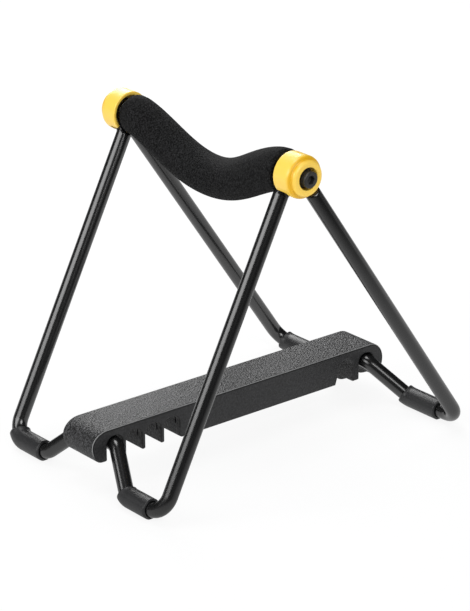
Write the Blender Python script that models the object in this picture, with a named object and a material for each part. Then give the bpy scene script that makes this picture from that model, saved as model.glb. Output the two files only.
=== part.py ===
"""Folding guitar neck rest: two bent rod frames, a foam saddle and a notched spreader bar.

The stand rests on the floor at z = 0 and +Z is up. The hinge axis runs along Y. The outer
frame's foot lies at +X and the inner frame's foot at -X, with the origin midway between them.
"""
import math

import bmesh
import bpy
import numpy as np
from mathutils import Vector

MM = 0.001

# Rods and legs
ROD_RADIUS = 4.0 * MM
HINGE_HEIGHT = 165.0 * MM
INNER_LEG = 179.3 * MM
OUTER_LEG = 193.5 * MM
INNER_HALF_WIDTH = 63.2 * MM
OUTER_HALF_WIDTH = 72.9 * MM
CROSSBAR_RISE = 20.4 * MM
CROSSBAR_CORNER = 13.6 * MM
LEG_BEND = 10.0 * MM
CROSSBAR_BEND = 8.0 * MM
ROD_SIDES = 16

# Flattened eyes at the tops of the legs
EYE_RADIUS = 7.0 * MM
EYE_THICKNESS = 2.6 * MM
INNER_EYE_Y = 65.4 * MM
OUTER_EYE_Y = 69.5 * MM
EYE_NECK = 7.6 * MM
EYE_END = 12.0 * MM

# Rubber sleeves on the feet, pressed flat where they stand, with their starts and ends along Y
SLEEVE_RADIUS = 5.5 * MM
SLEEVE_FLAT = 0.2 * MM
SLEEVE_LIP = 0.5 * MM
OUTER_SLEEVE_FRONT = (32.0 * MM, 59.0 * MM)
OUTER_SLEEVE_BACK = (44.0 * MM, 68.5 * MM)
INNER_SLEEVE_FRONT = (33.0 * MM, 54.0 * MM)
INNER_SLEEVE_BACK = (36.0 * MM, 60.5 * MM)
FOOT_HEIGHT = SLEEVE_RADIUS - SLEEVE_FLAT

# Saddle, turned a little towards the outer frame's foot
SADDLE_TILT = math.radians(8.0)
DIP_DEPTH = 19.0 * MM
DIP_HALF_LENGTH = 58.0 * MM
DIP_FULLNESS = 0.70
FOAM_RADIUS = 10.7 * MM
FOAM_END = 61.0 * MM
FOAM_EDGE = 2.0 * MM
SADDLE_COURSE = 57.0 * MM
SADDLE_STATIONS = 21
TUBE_RADIUS = 7.0 * MM
TUBE_WALL = 1.2 * MM
TUBE_END = 61.4 * MM
TUBE_EDGE = 0.2 * MM

# Hinge hardware, from the tube outwards along Y
FIT_GAP = 0.3 * MM
SEAT_GAP = 0.25 * MM
PLUG_START = 57.0 * MM
PLUG_FLANGE = 0.9 * MM
WASHER = 1.0 * MM
WASHER_RADIUS = 6.5 * MM
THRUST_SEAT = 62.85 * MM
SPACER_SEAT = 66.95 * MM
HEAD_WASHER_RADIUS = 5.2 * MM
BOLT_RADIUS = 2.5 * MM
BOLT_HEAD_RADIUS = 4.25 * MM
BOLT_HEAD = 4.8 * MM
HEAD_SEAT = 74.8 * MM
BOLT_TIP = 58.0 * MM
SOCKET_FLATS = 4.0 * MM
SOCKET_DEPTH = 2.5 * MM

# Yellow end caps
CAP_RADIUS = 11.0 * MM
CAP_WALL = 1.8 * MM
CAP_RIM = 63.8 * MM
CAP_SEAT = 71.05 * MM
CAP_FLOOR = 2.25 * MM
CAP_SHOULDER = 72.6 * MM
CAP_CREASE = 75.0 * MM
CAP_RELIEF = 75.2 * MM
CAP_FACE = 77.6 * MM
CAP_BOSS_RADIUS = 9.75 * MM
CAP_BOSS_EDGE = 1.7 * MM
CAP_COUNTERBORE = 5.5 * MM

# Spreader bar, measured from the outer frame's crossbar
BAR_HALF_WIDTH = 12.6 * MM
BAR_TOP = 8.9 * MM
BAR_BOTTOM = -8.6 * MM
BAR_WALL = 2.8 * MM
BAR_EDGE = 0.6 * MM
NOTCH_PITCH = 12.2 * MM
NOTCH_HALF = 5.0 * MM
NOTCH_TOP = 4.5 * MM
NOTCH_CORNER = 4.2 * MM
NOTCH_COUNT = 4
PRONG_TIP = 0.8 * MM
RACK_BOTTOM = -8.1 * MM
HOOK_BOTTOM = -9.6 * MM
HEEL_BOTTOM = -9.6 * MM
TAB_BOTTOM = -12.3 * MM
TAB_BEND = -10.2 * MM
TAB_ROOT = -8.6 * MM
TAB_FLAT = 1.5 * MM
TAB_SHOULDER = 7.0 * MM
TAB_REACH = 12.0 * MM
TAB_START = 5.2 * MM
TAB_END = 9.1 * MM
BELLY_END = 127.0 * MM
STORAGE_NOTCH = 14.4 * MM
STORAGE_HALF = 4.6 * MM
STORAGE_FLARE = 2.8 * MM
HEEL = 12.2 * MM
TOE = 14.4 * MM
POCKET_COUNT = 6
POCKET_RIB = 2.0 * MM
POCKET_ROOF = 5.4 * MM
SNAP_MOUTH = 3.3 * MM
SNAP_BORE = 4.3 * MM

# Derived positions
LEG_DROP = HINGE_HEIGHT - FOOT_HEIGHT
INNER_ANGLE = -math.acos(LEG_DROP / INNER_LEG)
OUTER_ANGLE = math.acos(LEG_DROP / OUTER_LEG)
HINGE_X = -(OUTER_LEG * math.sin(OUTER_ANGLE) + INNER_LEG * math.sin(INNER_ANGLE)) / 2
HINGE = Vector((HINGE_X, 0.0, HINGE_HEIGHT))


def leg_point(angle, distance):
    """A point at this distance from the hinge axis, on a leg that leans by this angle from straight down."""
    return HINGE + distance * Vector((math.sin(angle), 0.0, -math.cos(angle)))


OUTER_CROSSBAR = leg_point(OUTER_ANGLE, OUTER_LEG - CROSSBAR_RISE)
INNER_CROSSBAR = leg_point(INNER_ANGLE, INNER_LEG - CROSSBAR_RISE)
BAR_SPAN = (INNER_CROSSBAR - OUTER_CROSSBAR).length
BAR_TILT = math.atan2(INNER_CROSSBAR.z - OUTER_CROSSBAR.z, OUTER_CROSSBAR.x - INNER_CROSSBAR.x)


# Scene and objects

def clear_scene():
    for old in list(bpy.data.objects):
        bpy.data.objects.remove(old, do_unlink=True)


def material(name, colour, roughness, metallic=0.0):
    made = bpy.data.materials.new(name)
    made.use_nodes = True
    shader = made.node_tree.nodes["Principled BSDF"]
    shader.inputs["Base Color"].default_value = (*colour, 1.0)
    shader.inputs["Roughness"].default_value = roughness
    shader.inputs["Metallic"].default_value = metallic
    made.diffuse_color = (*colour, 1.0)
    return made


def pivot(name, at, parent=None):
    """An empty on a joint's axis, which the pieces of one moving group hang from."""
    empty = bpy.data.objects.new(name, None)
    bpy.context.scene.collection.objects.link(empty)
    empty.parent = parent
    empty.location = at - parent.location if parent else at
    return empty


def piece(name, bm, finish, parent, location=(0, 0, 0), smooth=35.0):
    """Turns a bmesh into a named object with its faces out, under the pivot it belongs to."""
    bmesh.ops.recalc_face_normals(bm, faces=bm.faces)
    mesh = bpy.data.meshes.new(name)
    bm.to_mesh(mesh)
    bm.free()
    mesh.shade_smooth()
    mesh.set_sharp_from_angle(angle=math.radians(smooth))
    mesh.materials.append(finish)
    made = bpy.data.objects.new(name, mesh)
    bpy.context.scene.collection.objects.link(made)
    made.parent = parent
    made.location = location
    return made


def cut(target, name, bm, operation="DIFFERENCE"):
    """Adds a Boolean to the target, with a hidden wire object under the same parent as its tool."""
    tool = piece(name, bm, target.data.materials[0], target.parent, target.location)
    tool.hide_render = True
    tool.display_type = "WIRE"
    boolean = target.modifiers.new(name, "BOOLEAN")
    boolean.operation = operation
    boolean.solver = "EXACT"
    boolean.object = tool


# Shapes

def loft(rings, closed=False):
    """A skin over a stack of point rings, closed into a hoop or capped at both ends."""
    bm = bmesh.new()
    rows = [[bm.verts.new(point) for point in ring] for ring in rings]
    pairs = list(zip(rows, rows[1:]))
    if closed:
        pairs.append((rows[-1], rows[0]))
    for lower, upper in pairs:
        for i in range(len(lower)):
            j = (i + 1) % len(lower)
            bm.faces.new((lower[i], lower[j], upper[j], upper[i]))
    if not closed:
        bm.faces.new(rows[0])
        bm.faces.new(rows[-1])
    return bm


def turned(profile, side, sides=24):
    """Spins a closed profile of (radius, distance along Y) points round the Y axis; side is +1 or -1."""
    rings = []
    for k in range(sides):
        turn = 2 * math.pi * k / sides
        rings.append([(r * math.cos(turn), side * y, r * math.sin(turn)) for r, y in profile])
    return loft(rings, closed=True)


def shaft(sections, side, sides=24):
    """A solid of round sections of (radius, distance along Y), with flat ends."""
    turns = np.arange(sides) * 2 * math.pi / sides
    return loft([[(r * math.cos(t), side * y, r * math.sin(t)) for t in turns] for r, y in sections])


def washer(outer, bore, start, thickness, side):
    """A flat ring with its edges broken by a tenth of its thickness."""
    broken = thickness / 10
    end = start + thickness
    profile = [(bore, start), (outer - broken, start), (outer, start + broken),
               (outer, end - broken), (outer - broken, end), (bore, end)]
    return turned(profile, side)


def arc(centre, radii, start, end, steps):
    """Points on an ellipse from the start angle to the end angle, in degrees."""
    angles = np.radians(np.linspace(start, end, steps + 1))
    return [(centre[0] + radii[0] * math.cos(a), centre[1] + radii[1] * math.sin(a)) for a in angles]


def block(low, high):
    """A box between two corners."""
    bm = bmesh.new()
    bmesh.ops.create_cube(bm, size=1.0)
    size = Vector(high) - Vector(low)
    middle = (Vector(high) + Vector(low)) / 2
    bmesh.ops.scale(bm, vec=size, verts=bm.verts)
    bmesh.ops.translate(bm, vec=middle, verts=bm.verts)
    return bm


# Bent rods, drawn in the plane of a frame as (along Y, down the leg)

def bent_path(corners, bends, steps):
    """Points and headings along straight runs joined by round bends of the given radii and step counts."""
    corners = [np.array(c, float) for c in corners]
    points = [corners[0]]
    headings = [(corners[1] - corners[0]) / np.linalg.norm(corners[1] - corners[0])]
    for k, (bend, count) in enumerate(zip(bends, steps), start=1):
        into = corners[k] - corners[k - 1]
        into /= np.linalg.norm(into)
        out = corners[k + 1] - corners[k]
        out /= np.linalg.norm(out)
        turn = math.atan2(into[0] * out[1] - into[1] * out[0], into @ out)
        side = math.copysign(1.0, turn)
        normal = side * np.array([-into[1], into[0]])
        first = corners[k] - into * bend * math.tan(abs(turn) / 2)
        for a in np.linspace(0.0, abs(turn), count + 1):
            points.append(first + bend * (math.sin(a) * into + (1 - math.cos(a)) * normal))
            headings.append(math.cos(a) * into + math.sin(a) * normal)
    points.append(corners[-1])
    headings.append(headings[-1])
    return points, headings


def frame_corners(leg, half_width, top):
    """The rod's corners from the top of the near leg, through foot and crossbar, to the top of the far leg."""
    foot_corner = CROSSBAR_CORNER + CROSSBAR_RISE
    near = [(-half_width, top), (-half_width, leg), (-foot_corner, leg),
            (-CROSSBAR_CORNER, leg - CROSSBAR_RISE)]
    return near + [(-y, r) for y, r in reversed(near)]


FRAME_BENDS = [LEG_BEND, CROSSBAR_BEND, CROSSBAR_BEND, CROSSBAR_BEND, CROSSBAR_BEND, LEG_BEND]
FRAME_STEPS = [6, 4, 4, 4, 4, 6]


def rod_ring(centre, heading, across, through, squareness, angle):
    """One section of a rod: half sizes across its plane and through it, from round (2) to boxy."""
    down = Vector((math.sin(angle), 0.0, -math.cos(angle)))
    normal = Vector((math.cos(angle), 0.0, math.sin(angle)))
    along_y = Vector((0.0, 1.0, 0.0))
    middle = along_y * centre[0] + down * centre[1]
    side = along_y * -heading[1] + down * heading[0]
    points = []
    for k in range(ROD_SIDES):
        turn = 2 * math.pi * (k + 0.5) / ROD_SIDES
        c, s = math.cos(turn), math.sin(turn)
        c = math.copysign(abs(c) ** (2 / squareness), c)
        s = math.copysign(abs(s) ** (2 / squareness), s)
        points.append(middle + side * (across * c) + normal * (through * s))
    return points


def ease(value, start, end):
    """A smooth rise from 0 at start to 1 at end."""
    t = min(max((value - start) / (end - start), 0.0), 1.0)
    return t * t * (3 - 2 * t)


def eye_sections(eye_y, half_width):
    """Sections of a leg's top: a flattened round eye that draws in to its neck and swells to the rod."""
    sections = []
    for s in (-0.99, -0.94, -0.82, -0.62, -0.35, 0.0, 0.3, 0.6, 0.82, 1.02):
        along = s * EYE_RADIUS
        if s < 0.6:
            wide = math.sqrt(EYE_RADIUS ** 2 - along ** 2)
        else:
            wide = ROD_RADIUS + (0.8 * EYE_RADIUS - ROD_RADIUS) * (1 - ease(s, 0.6, 1.08))
        sections.append((eye_y, along, EYE_THICKNESS / 2, wide, 5.0))
    for along in np.linspace(EYE_NECK, EYE_END, 7):
        swell = ease(along, EYE_NECK, EYE_END)
        y = eye_y + (half_width - eye_y) * swell
        thick = EYE_THICKNESS / 2 + (ROD_RADIUS - EYE_THICKNESS / 2) * swell
        sections.append((y, along, thick, ROD_RADIUS, 5.0 - 3.0 * swell))
    return sections


def bent_rod(leg, half_width, eye_y, angle):
    """The whole rod of one frame, round its hinge, from one eye to the other."""
    top = eye_sections(eye_y, half_width)
    points, headings = bent_path(frame_corners(leg, half_width, EYE_END), FRAME_BENDS, FRAME_STEPS)
    rings = [rod_ring((-y, s), (0, 1), thick, wide, square, angle) for y, s, thick, wide, square in top[:-1]]
    rings += [rod_ring(p, h, ROD_RADIUS, ROD_RADIUS, 2.0, angle) for p, h in zip(points, headings)]
    rings += [rod_ring((y, s), (0, -1), thick, wide, square, angle)
              for y, s, thick, wide, square in reversed(top[:-1])]
    return loft(rings)


def eye_drills(eye_y):
    """Two short drills on the hinge axis, one through each eye."""
    bm = bmesh.new()
    for side in (-1, 1):
        sections = [(BOLT_RADIUS + FIT_GAP, eye_y - EYE_THICKNESS), (BOLT_RADIUS + FIT_GAP, eye_y + EYE_THICKNESS)]
        drill = shaft(sections, side, 16)
        mesh = bpy.data.meshes.new("drill")
        drill.to_mesh(mesh)
        drill.free()
        bm.from_mesh(mesh)
        bpy.data.meshes.remove(mesh)
    return bm


def frame_rod(name, leg, half_width, eye_y, angle, finish, parent):
    rod = piece(name, bent_rod(leg, half_width, eye_y, angle), finish, parent)
    cut(rod, name + "_drill", eye_drills(eye_y))
    return rod


def foot_sleeve(name, leg, half_width, angle, side, span, finish, parent):
    """A rubber sleeve that follows a foot into its bends, flat where it stands on the floor."""
    points, headings = bent_path(frame_corners(leg, half_width, EYE_END), FRAME_BENDS, FRAME_STEPS)
    half = len(points) // 2
    course = np.column_stack([points[:half], headings[:half]])
    start, end = span
    inside_range = course[(course[:, 0] > -end + SLEEVE_LIP) & (course[:, 0] < -start - SLEEVE_LIP), 0]
    stations = np.concatenate([[-end, -end + SLEEVE_LIP], inside_range, [-start - SLEEVE_LIP, -start]])
    drop, head_y, head_r = (np.interp(stations, course[:, 0], course[:, k]) for k in (1, 2, 3))
    outside = []
    bore = []
    for k, (y, r, hy, hr) in enumerate(zip(stations, drop, head_y, head_r)):
        length = math.hypot(hy, hr)
        centre = (-side * y, r)
        heading = (hy / length, -side * hr / length)
        lipped = SLEEVE_LIP if k in (0, len(stations) - 1) else 0.0
        outer = SLEEVE_RADIUS - lipped
        outside.append(rod_ring(centre, heading, outer, outer, 2.0, angle))
        inner = ROD_RADIUS + FIT_GAP
        bore.append(rod_ring(centre, heading, inner, inner, 2.0, angle))
    sleeve = piece(name, loft(outside + bore[::-1], closed=True), finish, parent)
    foot = leg_point(angle, leg) - HINGE
    near, far = sorted((side * start, side * end))
    floor = block((foot.x - 2 * SLEEVE_RADIUS, near - SLEEVE_RADIUS, foot.z - 2 * SLEEVE_RADIUS),
                  (foot.x + 2 * SLEEVE_RADIUS, far + SLEEVE_RADIUS, foot.z - FOOT_HEIGHT))
    cut(sleeve, name + "_floor", floor)
    return sleeve


# Saddle

def dip(y):
    """Height of the saddle's axis over the hinge axis: level at the ends, deepest in the middle."""
    t = min(abs(y) / DIP_HALF_LENGTH, 1.0)
    return -DIP_DEPTH * (0.5 * (1 + math.cos(math.pi * t))) ** DIP_FULLNESS


def saddle_ring(y, radius, sides):
    """A round section of the saddle, square to its axis."""
    step = 0.05 * MM
    slope = math.atan2(dip(y + step) - dip(y - step), 2 * step)
    ring = []
    for k in range(sides):
        turn = 2 * math.pi * k / sides
        lift = radius * math.sin(turn)
        ring.append((radius * math.cos(turn), y - lift * math.sin(slope), dip(y) + lift * math.cos(slope)))
    return ring


def saddle_sleeve(name, end, outer, inner, edge, sides, finish, parent):
    """A tube or foam sleeve along the saddle's axis, its outer edges eased at both ends."""
    outside = [(-end, outer - edge), (-end + 0.6 * edge, outer - 0.3 * edge)]
    outside += [(y, outer) for y in np.linspace(-SADDLE_COURSE, SADDLE_COURSE, SADDLE_STATIONS)]
    outside += [(end - 0.6 * edge, outer - 0.3 * edge), (end, outer - edge)]
    rings = [saddle_ring(y, r, sides) for y, r in outside]
    rings += [saddle_ring(y, inner, sides) for y, _ in reversed(outside)]
    return piece(name, loft(rings, closed=True), finish, parent)


# Hinge hardware

def tube_plug(name, side, finish, parent):
    """A threaded insert with a flange over the tube's end."""
    flange = TUBE_END + FIT_GAP
    body = TUBE_RADIUS - TUBE_WALL - 2 * FIT_GAP
    bore = BOLT_RADIUS + FIT_GAP
    profile = [(bore, PLUG_START), (body - WASHER / 4, PLUG_START), (body, PLUG_START + WASHER / 4),
               (body, flange), (TUBE_RADIUS, flange), (TUBE_RADIUS, flange + PLUG_FLANGE),
               (bore, flange + PLUG_FLANGE)]
    return piece(name, turned(profile, side), finish, parent)


def pivot_bolt(name, side, finish, parent):
    """A socket head screw: rounded head outside, hexagon socket, shank down to its chamfered tip."""
    seat = HEAD_SEAT
    crown = seat + BOLT_HEAD
    chamfer = 0.5 * MM
    sections = [(BOLT_RADIUS - chamfer, BOLT_TIP), (BOLT_RADIUS, BOLT_TIP + chamfer), (BOLT_RADIUS, seat),
                (BOLT_HEAD_RADIUS, seat), (BOLT_HEAD_RADIUS, crown - chamfer), (BOLT_HEAD_RADIUS - chamfer, crown)]
    bolt = piece(name, shaft(sections, side), finish, parent)
    corner = SOCKET_FLATS / 2 / math.cos(math.pi / 6)
    socket = shaft([(corner, crown - SOCKET_DEPTH), (corner, crown + SOCKET_DEPTH)], side, 6)
    cut(bolt, name + "_socket", socket)
    return bolt


def leg_frame(angle):
    """Unit directions in the hinge's plane: down the leg, and square to it towards +X."""
    return np.array([math.sin(angle), -math.cos(angle)]), np.array([math.cos(angle), math.sin(angle)])


def slot_prism(outline, side, start, end):
    """A cutter with an (x, z) outline between two distances along Y."""
    return loft([[(x, side * y, z) for x, z in outline] for y in (start, end)])


def end_cap(name, side, finish, parent):
    """A moulded cup over the eyes, with a stepped face, a bolt seat and a window for the swinging legs."""
    rim = 0.6 * MM
    floor_in = CAP_SEAT
    floor_out = CAP_SEAT + CAP_FLOOR
    bore = BOLT_RADIUS + FIT_GAP
    cavity = CAP_RADIUS - CAP_WALL
    profile = [(cavity, CAP_RIM), (CAP_RADIUS - rim, CAP_RIM), (CAP_RADIUS, CAP_RIM + rim)]
    profile += arc((CAP_BOSS_RADIUS, CAP_SHOULDER), (CAP_RADIUS - CAP_BOSS_RADIUS, CAP_CREASE - CAP_SHOULDER),
                   0, 90, 4)
    profile += arc((CAP_BOSS_RADIUS - CAP_BOSS_EDGE, CAP_FACE - CAP_BOSS_EDGE), (CAP_BOSS_EDGE, CAP_BOSS_EDGE),
                   0, 90, 3)
    profile += [(CAP_COUNTERBORE, CAP_FACE), (CAP_COUNTERBORE, floor_out), (bore, floor_out),
                (bore, floor_in), (cavity, floor_in)]
    cap = piece(name, turned(profile, side, 32), finish, parent)

    clear = ROD_RADIUS + 0.4 * MM
    reach = 1.6 * CAP_RADIUS
    down_out, across_out = leg_frame(OUTER_ANGLE)
    down_in, across_in = leg_frame(INNER_ANGLE)
    window = [across_out * clear, down_out * reach + across_out * clear,
              down_in * reach - across_in * clear, -across_in * clear]
    cut(cap, name + "_window", slot_prism(window, side, CAP_RIM - rim, CAP_SEAT - 0.15 * MM))
    start = EYE_NECK - 0.2 * MM
    relief = [down_out * start + across_out * clear, down_out * reach + across_out * clear,
              down_out * reach - across_out * clear, down_out * start - across_out * clear]
    cut(cap, name + "_relief", slot_prism(relief, side, CAP_SEAT - rim, CAP_RELIEF))
    return cap


# Spreader bar, drawn as (distance from the outer crossbar, height)

def rounded(corner, radius, before, after, steps=2):
    """Points that round a right-angled corner, given the unit directions into and out of it."""
    corner, before, after = (np.array(v, float) for v in (corner, before, after))
    centre = corner - before * radius + after * radius
    turns = np.linspace(0, math.pi / 2, steps + 1)
    return [tuple(centre - after * radius * math.cos(t) + before * radius * math.sin(t)) for t in turns]


def notch(centre, bottom_left, bottom_right, top):
    """An arched notch open at the bottom, from its toe side wall over the arch to its heel side wall."""
    left = centre + NOTCH_HALF
    right = centre - NOTCH_HALF
    points = rounded((left, bottom_left), PRONG_TIP, (-1, 0), (0, 1))
    points += arc((left - NOTCH_CORNER, top - NOTCH_CORNER), (NOTCH_CORNER, NOTCH_CORNER), 0, 90, 3)
    points += arc((right + NOTCH_CORNER, top - NOTCH_CORNER), (NOTCH_CORNER, NOTCH_CORNER), 90, 180, 3)
    points += rounded((right, bottom_right), PRONG_TIP, (0, -1), (-1, 0))
    return points


def rack_outline():
    """The bar's side view: toe, four height notches, plain belly, flared storage notch, hinge notch, heel."""
    toe_top = BAR_SPAN + 4.3 * MM
    toe_tip = BAR_SPAN + TOE
    nose = 1.0 * MM
    points = arc((toe_top, nose), (toe_tip - toe_top, BAR_TOP - nose), 90, 0, 6)
    toe_foot = BAR_SPAN + 7.8 * MM
    points += arc((toe_foot, nose), (toe_tip - toe_foot, nose - RACK_BOTTOM), 0, -90, 5)[1:]
    for k in range(NOTCH_COUNT):
        points += notch(BAR_SPAN - k * NOTCH_PITCH, RACK_BOTTOM, RACK_BOTTOM, NOTCH_TOP)
    points += [(BELLY_END, RACK_BOTTOM), (BELLY_END, BAR_BOTTOM)]
    points.append((STORAGE_NOTCH + STORAGE_HALF + STORAGE_FLARE, BAR_BOTTOM))
    points += arc((STORAGE_NOTCH, 0.0), (STORAGE_HALF, NOTCH_TOP), 0, 180, 8)
    points += rounded((STORAGE_NOTCH - STORAGE_HALF, HOOK_BOTTOM), PRONG_TIP, (0, -1), (-1, 0))
    points += notch(0.0, HOOK_BOTTOM, HEEL_BOTTOM, NOTCH_TOP)
    heel_foot = -7.0 * MM
    points += arc((heel_foot, -nose), (HEEL + heel_foot, -nose - HEEL_BOTTOM), 270, 180, 5)
    heel_top = -2.4 * MM
    points += arc((heel_top, -nose), (HEEL + heel_top, BAR_TOP + nose), 180, 90, 6)[1:]
    return points


def inset(outline, distance):
    """The same outline moved inwards by a distance, mitred at its corners."""
    p = np.array(outline)
    edge = np.roll(p, -1, axis=0) - p
    edge /= np.linalg.norm(edge, axis=1)[:, None]
    normal = np.column_stack([-edge[:, 1], edge[:, 0]])
    twice_area = np.sum(p[:, 0] * np.roll(p[:, 1], -1) - np.roll(p[:, 0], -1) * p[:, 1])
    normal *= math.copysign(1.0, twice_area)
    before = np.roll(normal, 1, axis=0)
    mitre = (normal + before) / (1 + np.sum(normal * before, axis=1))[:, None]
    return p + mitre * distance


def bar_prism(outline, half_width, edge):
    """The side view drawn out across the bar, with a small chamfer round both faces."""
    layers = [(-half_width, edge), (-half_width + edge, 0.0), (half_width - edge, 0.0), (half_width, edge)]
    return loft([[(-u, y, w) for u, w in inset(outline, back)] for y, back in layers])


def pocket_boxes():
    """Cored-out pockets between cross ribs, open below."""
    bm = bmesh.new()
    start = STORAGE_NOTCH + STORAGE_HALF + STORAGE_FLARE + POCKET_RIB
    length = (BELLY_END - start - (POCKET_COUNT - 1) * POCKET_RIB) / POCKET_COUNT
    side = BAR_HALF_WIDTH - BAR_WALL
    for k in range(POCKET_COUNT):
        near = start + k * (length + POCKET_RIB)
        box = block((-near - length, -side, 2 * BAR_BOTTOM), (-near, side, POCKET_ROOF))
        mesh = bpy.data.meshes.new("pocket")
        box.to_mesh(mesh)
        box.free()
        bm.from_mesh(mesh)
        bpy.data.meshes.remove(mesh)
    return bm


def snap_lip(side, bottom):
    """One half of the sprung clip that holds the outer crossbar, reaching round under the rod."""
    wall = NOTCH_HALF + BAR_EDGE / 2
    bite = math.degrees(math.acos(SNAP_MOUTH / SNAP_BORE))
    outline = [(wall, 0.0), (wall, bottom), (SNAP_MOUTH + 1.2 * MM, bottom), (SNAP_MOUTH, bottom / 1.7)]
    outline += arc((0, 0), (SNAP_BORE, SNAP_BORE), -bite, 0, 4)
    half = BAR_HALF_WIDTH - BAR_WALL
    return loft([[(-side * u, y, w) for u, w in outline] for y in (-half, half)])


def press_tab(side):
    """A tab under one jaw of the clip, deepest across the middle, where a finger opens the clip."""
    half = [(TAB_FLAT, TAB_BOTTOM), (TAB_SHOULDER, TAB_BEND), (TAB_REACH, TAB_ROOT)]
    outline = [(-y, w) for y, w in reversed(half)] + half
    return loft([[(-side * u, y, w) for y, w in outline] for u in (TAB_START, TAB_END)])


def spreader_bar(finish, parent):
    bar = piece("spreader_bar", bar_prism(rack_outline(), BAR_HALF_WIDTH, BAR_EDGE), finish, parent)
    cut(bar, "bar_pockets", pocket_boxes())
    for side, end, bottom in ((1, "toe", HOOK_BOTTOM), (-1, "heel", HEEL_BOTTOM)):
        cut(bar, "bar_snap_" + end, snap_lip(side, bottom + BAR_EDGE), "UNION")
        cut(bar, "bar_tab_" + end, press_tab(side), "UNION")
    return bar


def build():
    clear_scene()
    black_paint = material("gloss black paint", (0.012, 0.012, 0.013), 0.22)
    yellow = material("yellow plastic", (1.0, 0.72, 0.10), 0.38)
    foam = material("black foam", (0.018, 0.018, 0.019), 0.95)
    rubber = material("dark rubber", (0.050, 0.050, 0.053), 0.55)
    moulding = material("charcoal plastic", (0.060, 0.060, 0.062), 0.60)
    steel = material("plain steel tube", (0.55, 0.55, 0.56), 0.35, 1.0)
    black_oxide = material("black oxide steel", (0.030, 0.030, 0.032), 0.40, 0.8)
    nylon = material("black nylon", (0.030, 0.030, 0.030), 0.50)

    outer = pivot("outer_frame", HINGE)
    inner = pivot("inner_frame", HINGE, outer)
    saddle = pivot("saddle", HINGE, outer)
    saddle.rotation_euler.y = -SADDLE_TILT
    spreader = pivot("spreader", OUTER_CROSSBAR, outer)
    spreader.rotation_euler.y = BAR_TILT

    frame_rod("outer_frame_rod", OUTER_LEG, OUTER_HALF_WIDTH, OUTER_EYE_Y, OUTER_ANGLE, black_paint, outer)
    frame_rod("inner_frame_rod", INNER_LEG, INNER_HALF_WIDTH, INNER_EYE_Y, INNER_ANGLE, black_paint, inner)
    saddle_sleeve("saddle_tube", TUBE_END, TUBE_RADIUS, TUBE_RADIUS - TUBE_WALL, TUBE_EDGE, 16, steel, saddle)
    saddle_sleeve("saddle_foam", FOAM_END, FOAM_RADIUS, TUBE_RADIUS + FIT_GAP, FOAM_EDGE, 20, foam, saddle)
    spreader_bar(moulding, spreader)

    ends = ((-1, "front", OUTER_SLEEVE_FRONT, INNER_SLEEVE_FRONT),
            (1, "back", OUTER_SLEEVE_BACK, INNER_SLEEVE_BACK))
    for side, end, outer_span, inner_span in ends:
        foot_sleeve("outer_foot_sleeve_" + end, OUTER_LEG, OUTER_HALF_WIDTH, OUTER_ANGLE, side, outer_span,
                    rubber, outer)
        foot_sleeve("inner_foot_sleeve_" + end, INNER_LEG, INNER_HALF_WIDTH, INNER_ANGLE, side, inner_span,
                    rubber, inner)
        end_cap("end_cap_" + end, side, yellow, outer)
        tube_plug("tube_plug_" + end, side, nylon, saddle)
        bore = BOLT_RADIUS + FIT_GAP
        thrust = washer(WASHER_RADIUS, bore, THRUST_SEAT, WASHER, side)
        piece("thrust_washer_" + end, thrust, nylon, saddle)
        spacer = washer(WASHER_RADIUS, bore, SPACER_SEAT, WASHER, side)
        piece("eye_spacer_" + end, spacer, nylon, saddle)
        under_head = washer(HEAD_WASHER_RADIUS, bore, HEAD_SEAT - SEAT_GAP - WASHER, WASHER, side)
        piece("head_washer_" + end, under_head, black_oxide, saddle)
        pivot_bolt("pivot_bolt_" + end, side, black_oxide, saddle)


build()
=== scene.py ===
import math

import bmesh
import bpy
import numpy as np
from mathutils import Matrix, Vector, kdtree


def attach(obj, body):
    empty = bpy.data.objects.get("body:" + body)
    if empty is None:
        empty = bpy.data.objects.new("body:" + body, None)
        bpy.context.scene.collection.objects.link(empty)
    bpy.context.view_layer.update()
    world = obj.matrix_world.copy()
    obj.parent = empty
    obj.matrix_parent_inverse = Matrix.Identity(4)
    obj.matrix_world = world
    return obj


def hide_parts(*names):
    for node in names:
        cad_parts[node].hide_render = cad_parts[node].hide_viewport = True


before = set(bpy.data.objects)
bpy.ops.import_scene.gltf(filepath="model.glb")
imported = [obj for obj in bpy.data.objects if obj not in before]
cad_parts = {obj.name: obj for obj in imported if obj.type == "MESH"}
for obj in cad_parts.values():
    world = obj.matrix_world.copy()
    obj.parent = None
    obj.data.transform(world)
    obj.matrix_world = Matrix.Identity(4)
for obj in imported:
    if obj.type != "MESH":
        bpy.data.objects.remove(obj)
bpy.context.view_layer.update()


# Camera
# The stand is seen over the spreader bar's toe, from a little above the saddle and through a
# long lens, about a metre and a half away.

VIEW_FROM = Vector((-0.8053, -0.9909, 0.5815))
YAW, PITCH, ROLL = math.radians(-39.2), math.radians(21.74), math.radians(-0.55)

towards_lens = Vector((math.sin(YAW) * math.cos(PITCH), -math.cos(YAW) * math.cos(PITCH), math.sin(PITCH)))
level_right = (-towards_lens).cross(Vector((0, 0, 1))).normalized()
level_up = level_right.cross(-towards_lens)
picture_right = math.cos(ROLL) * level_right + math.sin(ROLL) * level_up
picture_up = math.cos(ROLL) * level_up - math.sin(ROLL) * level_right

lens = bpy.data.cameras.new("long_lens")
lens.lens = 155.99
lens.sensor_width = 36.0
lens.clip_end = 50.0
camera = bpy.data.objects.new("camera", lens)
camera.matrix_world = (Matrix.Translation(VIEW_FROM)
                       @ Matrix((picture_right, picture_up, towards_lens)).transposed().to_4x4())
bpy.context.scene.collection.objects.link(camera)
bpy.context.scene.camera = camera


# Floor and light
# A white studio sweep with a faint contact shadow. A wide softbox at the left draws the broad
# streak down the black rods, and a smaller one behind puts the sheen on the bar's top. Gloss
# sees the sweep grow brighter from the front left to the back right.

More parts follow.
